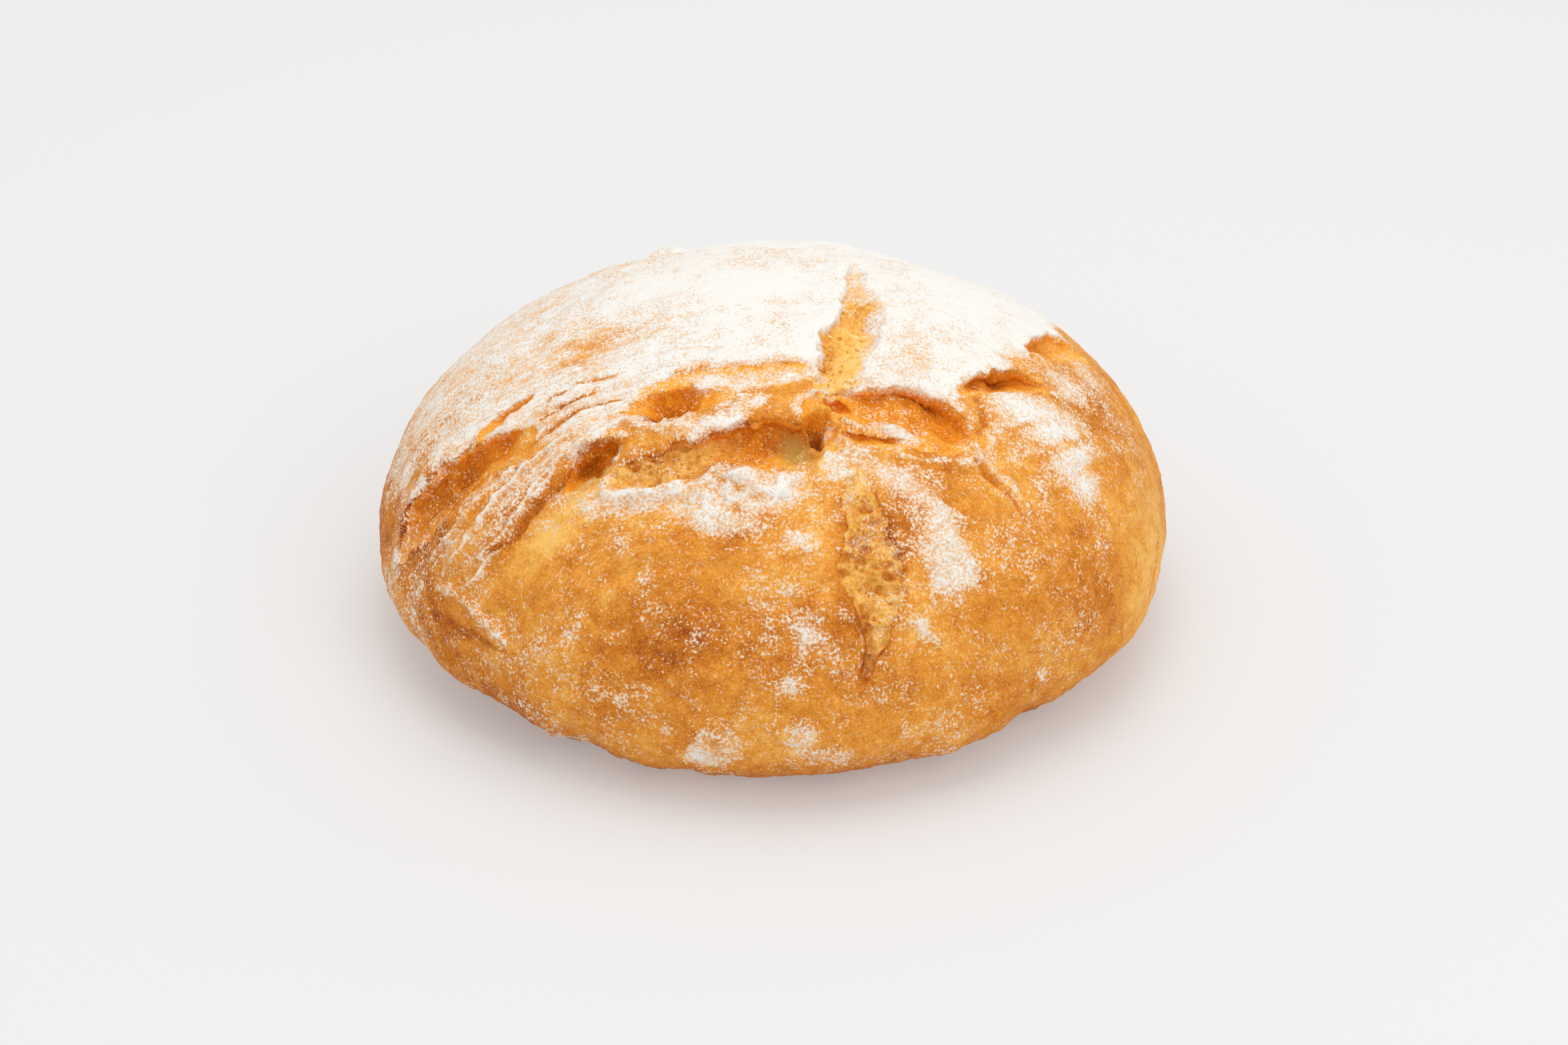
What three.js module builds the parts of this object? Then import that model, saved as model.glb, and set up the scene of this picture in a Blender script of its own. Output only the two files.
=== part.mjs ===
// A round country loaf of corn bread, baked on a stone as one piece.
// It is a low dome with a flat bottom crust, a full belly and two crossing cuts that tore open in the oven.
// Millimetres, +Z up, the front is -Y, and the origin is under the middle of the loaf, on the table.
import * as THREE from "three";
import { mergeVertices } from "three/addons/utils/BufferGeometryUtils.js";

// Driving dimensions.
const halfWidth = 91.5; // belly, left and right
const frontReach = 83.5; // belly, from the middle to the front
const backReach = 86.5; // belly, from the middle to the back
const loafHeight = 80.5; // table to crown
const bellyHeight = 19.5; // height of the widest ring
const crownShift = new THREE.Vector2(0.7, 1.8); // the crown leans a little to the back

// The flat bottom crust, as a share of the belly's radius. The front is baked flatter than the sides.
const sideBase = 0.58;
const frontBase = 0.74;
const backBase = 0.66;
const meanBase = 0.66; // the base circle that the plain profile is drawn with

// How the heel, under the belly, and the dome depart from plain ellipses: 2 is an ellipse.
const heelPower = 1.9;
const domePower = 2.0;

// The belly isn't quite round: three shallow bulges run round it.
const bulgeCount = 3;
const bulgeShare = 0.006;
const bulgeTurn = 0.44; // radians from +X to the first bulge

// Mesh fineness: rings from the base's middle to the crown, and steps round the loaf.
const baseRings = 4;
const heelRings = 8;
const domeRings = 28;
const stepsRound = 104;

// The tears. A place is in degrees from the crown, to the right and to the back, seen from the heart of the
// loaf, which is on the axis at belly height. Widths and depths are in millimetres.
const tears = [
  {
    // the cut that runs from front to back, its far half
    path: [[19, 26], [20, 4], [17, -11], [13, -24]],
    halfWidth: 5.5,
    depth: 2.2,
  },
  {
    // its near half, down the front wall
    path: [[15, -45], [19, -58], [21, -68], [19, -80]],
    halfWidth: 5,
    depth: 1.5,
  },
  {
    // the cut that runs across, from the left wall to the middle
    path: [[-34, -42], [-21, -43], [-8, -41], [8, -39]],
    halfWidth: 6,
    depth: 3.5,
  },
  {
    // the scoop at the left wall
    path: [[-75, -27], [-66, -26], [-57, -27], [-45, -27]],
    halfWidth: 5,
    depth: 3,
  },
  {
    // the scoop behind the middle
    path: [[-24, -28], [-16, -28], [-5, -27]],
    halfWidth: 4.5,
    depth: 2.5,
  },
  {
    // the right half of the cut that runs across
    path: [[14, -33], [23, -31], [31, -31], [38, -33]],
    halfWidth: 6,
    depth: 2.5,
  },
  {
    // two short mouths at its far end
    path: [[41, -17], [47, -13], [52, -9]],
    halfWidth: 3.5,
    depth: 2.5,
  },
  {
    path: [[50, 5], [56, 10], [62, 14]],
    halfWidth: 4,
    depth: 2.5,
  },
];
const lipHeight = 0.6; // a torn edge stands this far proud of the crust
const lipPlace = 1.5; // its top is this many half widths from the tear's middle
const lipSpread = 0.5; // and it spreads over this many half widths
const stretchesPerPoint = 5; // straight stretches in a tear's line, for each point of its path

const crustColour = 0xd08a35;
const crustRoughness = 0.85;

const heart = new THREE.Vector3(0, 0, bellyHeight);

// One quarter of a rounded outline, from its widest point (share 0) to its top (share 1).
function roundedQuarter(share, power) {
  const turn = (share * Math.PI) / 2;
  return new THREE.Vector2(Math.cos(turn) ** (2 / power), Math.sin(turn) ** (2 / power));
}

// The outline of half a slice: x is a share of the belly's radius, and y is in millimetres.
function sliceOutline() {
  const outline = [];
  for (let i = 0; i < baseRings; i++) outline.push(new THREE.Vector2((meanBase * i) / baseRings, 0));
  for (let i = 0; i < heelRings; i++) {
    const place = roundedQuarter(1 - i / heelRings, heelPower);
    outline.push(new THREE.Vector2(meanBase + (1 - meanBase) * place.x, bellyHeight * (1 - place.y)));
  }
  for (let i = 0; i <= domeRings; i++) {
    const place = roundedQuarter(i / domeRings, domePower);
    outline.push(new THREE.Vector2(place.x, bellyHeight + (loafHeight - bellyHeight) * place.y));
  }
  outline[0].x = 0;
  outline[outline.length - 1].x = 0;
  return outline;
}

// How far out the flat base reaches on this side of the loaf, as a share of the belly's radius.
function baseShare(azimuth) {
  const depth = Math.sin(azimuth);
  const end = depth < 0 ? frontBase : backBase;
  return sideBase + (end - sideBase) * depth * depth;
}

// Moves a point of the plain outline out to where the flat base ends on its side.
function spreadBase(share, azimuth) {
  const base = baseShare(azimuth);
  if (share <= meanBase) return (share * base) / meanBase;
  return base + ((share - meanBase) * (1 - base)) / (1 - meanBase);
}

// Puts one point of the turned outline (x and y in shares, z in millimetres) on the loaf.
function onLoaf(point) {
  const azimuth = Math.atan2(point.y, point.x);
  const plainShare = Math.hypot(point.x, point.y);
  const share = point.z < bellyHeight ? spreadBase(plainShare, azimuth) : plainShare;
  const bulge = 1 + bulgeShare * Math.cos(bulgeCount * (azimuth - bulgeTurn));
  const reach = Math.sin(azimuth) < 0 ? frontReach : backReach;
  const lean = (point.z / loafHeight) ** 2;
  return new THREE.Vector3(
    halfWidth * bulge * share * Math.cos(azimuth) + crownShift.x * lean,
    reach * bulge * share * Math.sin(azimuth) + crownShift.y * lean,
    point.z,
  );
}

// The direction from the heart to a place given in degrees from the crown.
function directionOf([right, back]) {
  const fromCrown = THREE.MathUtils.degToRad(Math.hypot(right, back));
  const azimuth = Math.atan2(back, right);
  return new THREE.Vector3(
    Math.sin(fromCrown) * Math.cos(azimuth),
    Math.sin(fromCrown) * Math.sin(azimuth),
    Math.cos(fromCrown),
  );
}

// The tear's line as short straight stretches at heart distance 1.
function stretchesOf(tear) {
  const curve = new THREE.CatmullRomCurve3(tear.path.map(directionOf));
  const places = curve.getPoints(tear.path.length * stretchesPerPoint);
  return places.slice(1).map((place, i) => new THREE.Line3(places[i], place));
}

const tearLines = tears.map((tear) => ({ ...tear, stretches: stretchesOf(tear) }));

// A point's distance from a tear's line, in half widths of the tear.
function acrossTear(tear, direction, radius) {
  const nearest = new THREE.Vector3();
  const distances = tear.stretches.map((stretch) =>
    stretch.closestPointToPoint(direction, true, nearest).distanceTo(direction),
  );
  return (Math.min(...distances) * radius) / tear.halfWidth;
}

// How far the crust sinks (positive) or stands up (negative) at a point.
function sinkAt(direction, radius) {
  let hollow = 0;
  let lip = 0;
  for (const tear of tearLines) {
    const across = acrossTear(tear, direction, radius);
    hollow = Math.max(hollow, tear.depth * Math.exp(-(across ** 4)));
    lip = Math.max(lip, Math.exp(-(((across - lipPlace) / lipSpread) ** 2)));
  }
  return hollow - lipHeight * lip * Math.exp(-hollow);
}

// The tears sink towards the heart. The flat base stays flat.
function withTears(point) {
  if (point.z <= 0) return point;
  const ray = point.clone().sub(heart);
  const radius = ray.length();
  const direction = ray.normalize();
  return point.addScaledVector(direction, -sinkAt(direction, radius));
}

// The whole loaf, with its box centred on the origin in plan.
function loafGeometry() {
  const turned = new THREE.LatheGeometry(sliceOutline(), stepsRound);
  turned.rotateX(Math.PI / 2);
  turned.deleteAttribute("normal");
  turned.deleteAttribute("uv");
  const geometry = mergeVertices(turned);
  const places = geometry.getAttribute("position");
  const point = new THREE.Vector3();
  for (let i = 0; i < places.count; i++) {
    point.fromBufferAttribute(places, i);
    const placed = withTears(onLoaf(point));
    places.setXYZ(i, placed.x, placed.y, Math.max(placed.z, 0));
  }
  geometry.computeBoundingBox();
  const middle = geometry.boundingBox.getCenter(new THREE.Vector3());
  geometry.translate(-middle.x, -middle.y, 0);
  geometry.computeVertexNormals();
  return geometry;
}

const crust = new THREE.MeshStandardMaterial({
  color: crustColour,
  roughness: crustRoughness,
  metalness: 0,
});

const loaf = new THREE.Mesh(loafGeometry(), crust);
loaf.name = "loaf";

const cornBread = new THREE.Group();
cornBread.add(loaf);

export default cornBread;
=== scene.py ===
import math
import bpy
import numpy as np
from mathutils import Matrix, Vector


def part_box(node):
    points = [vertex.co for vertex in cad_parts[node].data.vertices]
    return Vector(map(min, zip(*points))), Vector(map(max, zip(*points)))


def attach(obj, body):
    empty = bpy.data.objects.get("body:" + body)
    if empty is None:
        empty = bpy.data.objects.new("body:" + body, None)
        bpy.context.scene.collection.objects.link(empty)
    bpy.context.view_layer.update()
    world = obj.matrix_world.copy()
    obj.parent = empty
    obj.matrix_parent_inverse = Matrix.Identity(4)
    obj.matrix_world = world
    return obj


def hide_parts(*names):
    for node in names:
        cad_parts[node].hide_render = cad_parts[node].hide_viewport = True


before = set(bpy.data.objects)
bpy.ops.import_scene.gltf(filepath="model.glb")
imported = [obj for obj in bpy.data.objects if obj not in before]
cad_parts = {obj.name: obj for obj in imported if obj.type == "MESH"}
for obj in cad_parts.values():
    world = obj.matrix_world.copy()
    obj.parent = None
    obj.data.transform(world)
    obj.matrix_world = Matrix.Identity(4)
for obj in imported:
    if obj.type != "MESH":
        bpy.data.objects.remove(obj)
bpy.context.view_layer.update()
lowCorner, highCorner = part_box("loaf")
mm = 0.001
print("frame loaded:", sorted(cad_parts))

# Everything on the loaf is placed as on a map: degrees to the right and to the back of the crown, seen from
# the heart of the loaf. The heart is on the loaf's axis, at the height of its belly. Sizes are millimetres.
loafForm = {
    "width": (highCorner.x - lowCorner.x) / mm,
    "height": (highCorner.z - lowCorner.z) / mm,
    "frontReach": (highCorner.y - lowCorner.y) / mm * 0.491,  # from the heart, a little less than half
    "backReach": (highCorner.y - lowCorner.y) / mm * 0.509,
    "heart": (-0.14, -1.0, 19.5),
    "lean": (0.7, 1.8),  # the crown leans a little to the back
    "sideBase": 0.58,  # flat bottom crust, as a share of the belly
    "frontBase": 0.74,
    "backBase": 0.66,
    "heelPower": 1.9,
    "bulges": (3, 0.006, 0.44),  # how many, how much, first one's turn in radians
    "facesPerSide": 75,
    "halvings": 2,
    "leanToView": 0.22,  # how much closer the mesh is at the front and top
    "triangles": 196000,
    "farOut": 130.0,  # outside the loaf all round
    "walkSteps": 24,  # halvings on the way out to the surface
}

heart = np.array(loafForm["heart"])
halfWidth = loafForm["width"] / 2
crownHeight = loafForm["height"] - heart[2]
latticeSize = 64  # a power of two, so & with one less wraps round it
lattice = np.random.default_rng(11).random((latticeSize, latticeSize, latticeSize))


def softNoise(points, size, octaves=3, seed=0, rough=0.5):
    total = np.zeros(len(points))
    weight = 0.0
    for octave in range(octaves):
        cosine, sine = math.cos(0.7 + octave), math.sin(0.7 + octave)
        turn = np.array([
            [cosine, -sine, 0], [sine * 0.8, cosine * 0.8, 0.6], [-sine * 0.6, -cosine * 0.6, 0.8],
        ])
        place = points @ turn.T * (2 ** octave / size) + 17.3 * (seed + 1) + 5.1 * octave
        cell = np.floor(place).astype(int)
        part = place - cell
        part = part * part * part * (part * (part * 6 - 15) + 10)
        cell &= latticeSize - 1
        following = (cell + 1) & (latticeSize - 1)
        value = 0
        for dx in (0, 1):
            for dy in (0, 1):
                for dz in (0, 1):
                    share = 1
                    index = []
                    for axis, step in enumerate((dx, dy, dz)):
                        share = share * (part[:, axis] if step else 1 - part[:, axis])
                        index.append(following[:, axis] if step else cell[:, axis])
                    value = value + share * lattice[tuple(index)]
        total += rough ** octave * (value - 0.5) * 2
        weight += rough ** octave
    return total / weight


def poreDistance(points, seed=0):
    # distance to the nearest of the scattered pore centres, one for each unit of space, and its own chance
    cell = np.floor(points).astype(int)
    nearest = np.full(len(points), 9.0)
    chance = np.zeros(len(points))
    for dx in (-1, 0, 1):
        for dy in (-1, 0, 1):
            for dz in (-1, 0, 1):
                near = cell + (dx, dy, dz)
                index = (near + 13 * seed) & (latticeSize - 1)
                rollX = lattice[index[:, 0], index[:, 1], index[:, 2]]
                rollY = lattice[index[:, 1], index[:, 2], index[:, 0]]
                rollZ = lattice[index[:, 2], index[:, 0], index[:, 1]]
                centre = near + 0.1 + 0.8 * np.stack([rollX, rollY, rollZ], 1)
                away = np.linalg.norm(points - centre, axis=1)
                closer = away < nearest
                nearest = np.where(closer, away, nearest)
                chance = np.where(closer, (rollX * 7.31 + rollY * 3.17) % 1, chance)
    return nearest, chance


def smoothStep(low, high, value):
    share = np.clip((value - low) / (high - low), 0, 1)
    return share * share * (3 - 2 * share)


def isInside(place):
    # place is measured from the heart
    reach = np.where(place[:, 1] < 0, loafForm["frontReach"], loafForm["backReach"])
    u, v = place[:, 0] / halfWidth, place[:, 1] / reach
    turn = np.arctan2(v, u)
    count, size, first = loafForm["bulges"]
    share = np.hypot(u, v) / (1 + size * np.cos(count * (turn - first)))
    end = np.where(v < 0, loafForm["frontBase"], loafForm["backBase"])
    base = loafForm["sideBase"] + (end - loafForm["sideBase"]) * np.sin(turn) ** 2
    dome = share ** 2 + (np.maximum(place[:, 2], 0) / crownHeight) ** 2 < 1
    power = loafForm["heelPower"]
    heelOut = np.maximum((share - base) / (1 - base), 0) ** power
    drop = np.clip(-place[:, 2] / heart[2], 0, None)
    heel = (heelOut + np.minimum(drop, 1) ** power < 1) & (drop < 1)
    return np.where(place[:, 2] >= 0, dome, heel)


def onForm(direction):
    # walks out from the heart to the plain loaf's surface
    inner = np.zeros(len(direction))
    outer = np.full(len(direction), loafForm["farOut"])
    for _ in range(loafForm["walkSteps"]):
        middle = (inner + outer) / 2
        inside = isInside(direction * middle[:, None])
        inner = np.where(inside, middle, inner)
        outer = np.where(inside, outer, middle)
    place = direction * inner[:, None] + heart
    lean = (np.maximum(place[:, 2], 0) / loafForm["height"]) ** 2
    place[:, 0] += loafForm["lean"][0] * lean
    place[:, 1] += loafForm["lean"][1] * lean
    return place


def towards(mapPlaces):
    mapPlaces = np.asarray(mapPlaces, float).reshape(-1, 2)
    fromCrown = np.radians(np.hypot(mapPlaces[:, 0], mapPlaces[:, 1]))
    turn = np.arctan2(mapPlaces[:, 1], mapPlaces[:, 0])
    return np.stack([
        np.sin(fromCrown) * np.cos(turn), np.sin(fromCrown) * np.sin(turn), np.cos(fromCrown),
    ], 1)


def onMap(direction):
    fromCrown = np.degrees(np.arccos(np.clip(direction[:, 2], -1, 1)))
    flat = np.hypot(direction[:, 0], direction[:, 1]) + 1e-9
    return direction[:, :2] / flat[:, None] * fromCrown[:, None]


# The plain mesh is a cube, halved finely, whose points are sent out along their directions to the form.
bpy.ops.object.select_all(action="DESELECT")
bpy.ops.mesh.primitive_cube_add(size=2)
loaf = bpy.context.object
loaf.name = "crustyLoaf"
loaf.data.name = "crustyLoaf"
bpy.ops.object.mode_set(mode="EDIT")
bpy.ops.mesh.select_all(action="SELECT")
bpy.ops.mesh.subdivide(number_cuts=loafForm["facesPerSide"] - 1)
bpy.ops.object.mode_set(mode="OBJECT")
finer = loaf.modifiers.new("finer", "SUBSURF")
finer.subdivision_type = "SIMPLE"
finer.levels = finer.render_levels = loafForm["halvings"]
bpy.ops.object.modifier_apply(modifier=finer.name)


def meshPlaces(mesh):
    places = np.empty(len(mesh.vertices) * 3, np.float32)
    mesh.vertices.foreach_get("co", places)
    return places.reshape(-1, 3).astype(float)


def setPlaces(mesh, places):
    mesh.vertices.foreach_set("co", places.astype(np.float32).ravel())
    mesh.update()


def meshNormals(mesh):
    normals = np.empty(len(mesh.vertices) * 3, np.float32)
    mesh.vertices.foreach_get("normal", normals)
    return normals.reshape(-1, 3).astype(float)


cubePlaces = np.tan(meshPlaces(loaf.data) * math.pi / 4)
direction = cubePlaces / np.linalg.norm(cubePlaces, axis=1)[:, None]
# The mesh is drawn closer together at the front and the top, where the tears are.
direction = direction + loafForm["leanToView"] * towards([(4, -42)])
direction /= np.linalg.norm(direction, axis=1)[:, None]
plain = onForm(direction)
setPlaces(loaf.data, plain * mm)
outward = meshNormals(loaf.data)
mapPlace = onMap((plain - heart) / np.linalg.norm(plain - heart, axis=1)[:, None])
print("plain loaf:", len(plain), "points")

# What the strokes build up, point by point.
points = len(plain)
sink = np.zeros(points)  # hollows, mm
rise = np.zeros(points)  # ridges and lumps, mm
slide = np.zeros((points, 3))  # moves along the surface, mm
crumb = np.zeros(points)  # 1 where the inside shows
torn = np.zeros(points)  # 1 on the stretched skin inside a tear
# oven browning, with painted shade in hollows and on the shaded side and painted light on the lit side
browningAndShade = np.zeros(points)  # above 0 darker and redder, below 0 paler
flour = np.zeros(points)


def smoothPath(path, steps=10):
    # a Catmull-Rom curve through the path's places on the map
    path = np.asarray(path, float)
    ends = np.vstack([2 * path[0] - path[1], path, 2 * path[-1] - path[-2]])
    curve = []
    for i in range(len(path) - 1):
        a, b, c, d = ends[i:i + 4]
        for t in np.arange(steps) / steps:
            curve.append(0.5 * (2 * b + (c - a) * t + (2 * a - 5 * b + 4 * c - d) * t * t
                                + (3 * b - a - 3 * c + d) * t ** 3))
    curve.append(path[-1])
    return np.array(curve)


def besideLine(path, reach):
    # points near a line: their index, distance to its left in mm, share of the way along it, and its tangent
    line = onForm(towards(smoothPath(path)))
    lengths = np.linalg.norm(np.diff(line, axis=0), axis=1)
    travelled = np.concatenate([[0], np.cumsum(lengths)])
    inBox = np.all((plain > line.min(0) - reach) & (plain < line.max(0) + reach), axis=1)
    near = np.nonzero(inBox)[0]
    place = plain[near]
    best = np.full(len(near), 1e9)
    along = np.zeros(len(near))
    foot = np.zeros((len(near), 3))
    tangent = np.zeros((len(near), 3))
    for i, length in enumerate(lengths):
        step = (line[i + 1] - line[i]) / length
        share = np.clip((place - line[i]) @ step, 0, length)
        spot = line[i] + share[:, None] * step
        away = ((place - spot) ** 2).sum(1)
        closer = away < best
        best = np.where(closer, away, best)
        along = np.where(closer, travelled[i] + share, along)
        foot[closer] = spot[closer]
        tangent[closer] = step
    left = np.cross(outward[near], tangent)
    left /= np.linalg.norm(left, axis=1)[:, None] + 1e-9
    across = np.sqrt(best) * np.sign(((place - foot) * left).sum(1))
    keep = np.sqrt(best) < reach
    return near[keep], across[keep], along[keep] / travelled[-1], left[keep]


def eased(along, values):
    # values spread evenly along a line, joined smoothly
    values = np.atleast_1d(np.asarray(values, float))
    if len(values) == 1:
        return np.full(len(along), values[0])
    place = np.clip(along, 0, 1) * (len(values) - 1)
    i = np.minimum(place.astype(int), len(values) - 2)
    t = smoothStep(0, 1, place - i)
    return values[i] * (1 - t) + values[i + 1] * t


# Tears, where the crust split and the inside rose. Each is a line on the map, and its left side, going along
# it, counts as the upper one. half: half widths. deep: depths. deepest: where the floor lies, from -1 at the
# lower edge to 1 at the upper. over: how far the upper lip hangs over. lips: heights of the two lips.
# crumb: how open the inside is. dusted: flour on the inside. lipFlour: flour on the upper and lower lip.
# blend: how far the flour thins out over the upper and lower edge, in half widths.
tears = {
    "upperRight": {
        "path": [(9, -34), (15, -33), (21, -32.5), (27, -32), (33, -32.5), (39, -33)],
        "half": [4, 8, 9.6, 9.8, 7.6, 3], "deep": [0.6, 1.8, 3.2, 4.4, 4.2, 1.2], "deepest": 0.62,
        "over": [0.6, 1.4, 2.4, 2.8, 1.8, 0.6], "lips": (1.1, 0.2), "crumb": 0.12,
        "dusted": [0.24, 0.26, 0.24, 0.2, 0.26], "lipFlour": (0.6, 0.25), "blend": (0.1, 0.5),
    },
    "centre": {
        "path": [(-30, -43.8), (-22, -44), (-13, -42.8), (-5, -41.2), (2, -40.8), (8, -40)],
        "half": [2.8, 4.6, 5.6, 7.4, 8.6, 6], "deep": [1.2, 2.0, 3.0, 4.2, 4.8, 3.8], "deepest": 0.3,
        "over": [0.4, 0.8, 1.2, 2.0, 2.2, 1.2], "lips": (0.9, 0.8), "crumb": [0.9, 0.95, 0.8, 0.35, 0.1, 0.3],
        "dusted": [0.22, 0.14, 0.12, 0.14, 0.1, 0.06], "lipFlour": (0.2, 0.6), "blend": (0.1, 0.1),
    },
    "pocket": {
        "path": [(1, -40), (4.5, -40.3), (7.6, -38.8)],
        "half": [6.0, 7.4, 5.4], "deep": [5.2, 7.6, 6.6], "deepest": 0.2,
        "over": [0.4, 1.4, 1.4], "lips": (0.3, 0.2), "crumb": 0.0,
        "dusted": 0.02, "lipFlour": (0, 0), "blend": (0.1, 0.1),
    },
    "darkHole": {
        "path": [(7.2, -36.6), (8.4, -38.0), (9.0, -39.8)],
        "half": [1.5, 2.3, 1.6], "deep": [6.8, 10.4, 7.2], "deepest": 0.1,
        "over": [0.0, 0.0, 0.0], "lips": (0.2, 0.2), "crumb": 0.0,
        "dusted": 0.02, "lipFlour": (0, 0), "blend": (0.1, 0.1),
    },
    "besidePocket": {
        "path": [(9.5, -33.0), (12.4, -32.2), (15, -33.6)],
        "half": [1.0, 1.9, 1.0], "deep": [1.2, 2.6, 1.2], "deepest": 0.3,
        "over": [0.4, 1.0, 0.3], "lips": (0.8, 0.3), "crumb": 0.1,
        "dusted": 0.08, "lipFlour": (0.1, 0.1), "blend": (0.1, 0.1),
    },
    "underFlap": {
        "path": [(12.5, -38.4), (17, -38.2), (22, -37.8), (26, -37.4)],
        "half": [1.0, 1.9, 1.8, 0.8], "deep": [0.8, 2.0, 2.0, 1.0], "deepest": 0.4,
        "over": [0.4, 1.4, 1.2, 0.4], "lips": (1.0, 0.4), "crumb": 0.1,
        "dusted": 0.12, "lipFlour": (0.6, 0.4), "blend": (0.1, 0.1),
    },
    "smallLeft": {
        "path": [(-39, -41), (-36, -38.8), (-32, -37.6), (-28, -36.8)],
        "half": [2.6, 5.2, 4.8, 1.4], "deep": [1.6, 5.0, 4.4, 0.8], "deepest": 0.3,
        "over": [0.4, 1.8, 1.6, 0.4], "lips": (0.8, 0.6), "crumb": 0.1,
        "dusted": 0.1, "lipFlour": (0.5, 0.4), "blend": (0.15, 0.2),
    },
    "farLeft": {
        "path": [(-76, -27.5), (-70, -26), (-64, -25.5), (-58, -25.2), (-53, -25), (-47.5, -26)],
        "half": [2.6, 6.4, 7.8, 7.4, 5.6, 1.8], "deep": [0.8, 2.8, 4.2, 4.6, 3.2, 0.6], "deepest": 0.35,
        "over": [0.4, 1.2, 2.0, 2.0, 1.4, 0.4], "lips": (1.2, 0.5),
        "crumb": [0.4, 0.35, 0.25, 0.15, 0.15, 0.1],
        "dusted": [0.4, 0.3, 0.2, 0.14, 0.14, 0.24], "lipFlour": (0.7, 0.3), "blend": (0.1, 0.6),
    },
    "upperLeftSlope": {
        "path": [(-26, -26), (-18, -25), (-10, -25.5), (-2, -25.5), (6, -24.5)],
        "half": [2.0, 4.0, 4.2, 4.0, 2.6], "deep": [0.2, 0.6, 0.6, 0.5, 0.3], "deepest": -0.3,
        "over": [0.2, 0.4, 0.4, 0.2], "lips": (0.4, 0.0), "crumb": 0.1,
        "dusted": [0.4, 0.34, 0.36, 0.4, 0.34], "lipFlour": (0.6, 0.0), "blend": (0.6, 0.2),
    },
    "upperLeft": {
        "path": [(-28, -29.8), (-24, -29.6), (-19.5, -30), (-14.5, -30.4), (-9, -30)],
        "half": [2.0, 5.2, 5.4, 3.4, 1.2], "deep": [0.8, 4.6, 5.0, 1.8, 0.3], "deepest": 0.0,
        "over": [0.2, 0.6, 0.6, 0.2], "lips": (0.3, 1.0), "crumb": 0.1,
        "dusted": [0.2, 0.08, 0.1, 0.16, 0.3], "lipFlour": (0.2, 0.6), "blend": (0.2, 0.2),
    },
    "rightArch": {
        "path": [(38, -21), (41, -17), (45, -13.8), (49, -12.3), (52.5, -11.8)],
        "half": [1.8, 4.2, 5.2, 3.4, 1.0], "deep": [1.0, 3.4, 4.2, 2.6, 0.4], "deepest": 0.62,
        "over": [0.6, 2.2, 2.6, 1.4, 0.4], "lips": (1.4, 0.0), "crumb": 0.1,
        "dusted": [0.2, 0.12, 0.12, 0.25], "lipFlour": (0.85, 0.0), "blend": (0.05, 0.7),
    },
    "farRight": {
        "path": [(50.5, 1), (53.5, 6), (57.5, 11), (61, 14)],
        "half": [1.6, 4.6, 5.6, 3], "deep": [1.2, 3.6, 2.8, 1.0], "deepest": 0.3,
        "over": [0.4, 1.0, 0.6], "lips": (0.9, 0.1), "crumb": [0.1, 0.15, 0.4, 0.4],
        "dusted": 0.12, "lipFlour": (0.7, 0.1), "blend": (0.1, 0.6),
    },
    "leftSlit": {
        "path": [(-56.5, -19.5), (-52.5, -18), (-48, -16)],
        "half": [1.2, 2.2, 1.3], "deep": [0.6, 1.8, 1.4], "deepest": 0.2,
        "over": [0.2, 0.4, 0.3], "lips": (0.5, 0.2), "crumb": 0.1,
        "dusted": 0.1, "lipFlour": (0.5, 0.4), "blend": (0.2, 0.3),
    },
    "crownCut": {
        "path": [(11, -27), (14, -20), (15, -15), (15.7, -10), (17.4, -4), (18, 1), (17.5, 8), (17, 16),
                 (17, 22)],
        "half": [3.4, 6.2, 6.2, 5.8, 5.6, 4.8, 3.2, 2.2, 0.8],
        "deep": [1.4, 2.2, 2.4, 2.2, 1.8, 1.2, 0.8, 0.6, 0.2], "deepest": 0.45,
        "over": [0.2, 0.5, 0.8, 0.6, 0.4, 0.2], "lips": (0.8, 0.1),
        "crumb": [1, 1, 1, 1, 1, 0.9, 0.8, 0.7, 0.5],
        "dusted": [0.2, 0.08, 0.04, 0.06, 0.14, 0.34, 0.56, 0.66, 0.8], "lipFlour": (0.0, 0.0),
        "blend": (0.3, 0.7),
    },
    "frontCut": {
        "path": [(16.5, -46.5), (17, -52), (18.5, -57), (20, -62), (21.5, -66), (20.5, -70), (19.5, -75),
                 (19, -80)],
        "half": [2.2, 4.0, 5.4, 6.8, 6.0, 4.0, 2.0, 0.7], "deep": [0.4, 0.7, 0.9, 1.1, 1.3, 1.4, 1.4, 0.6],
        "deepest": 0.45, "over": [0.0, 0.2, 0.3, 0.2], "lips": (0.5, 0.0),
        "crumb": [0.7, 0.9, 1, 1, 1, 0.9, 0.8, 0.5],
        "dusted": [0.3, 0.26, 0.2, 0.14, 0.16, 0.3, 0.3], "lipFlour": (0.2, 0.0), "blend": (0.3, 0.8),
    },
}


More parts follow.
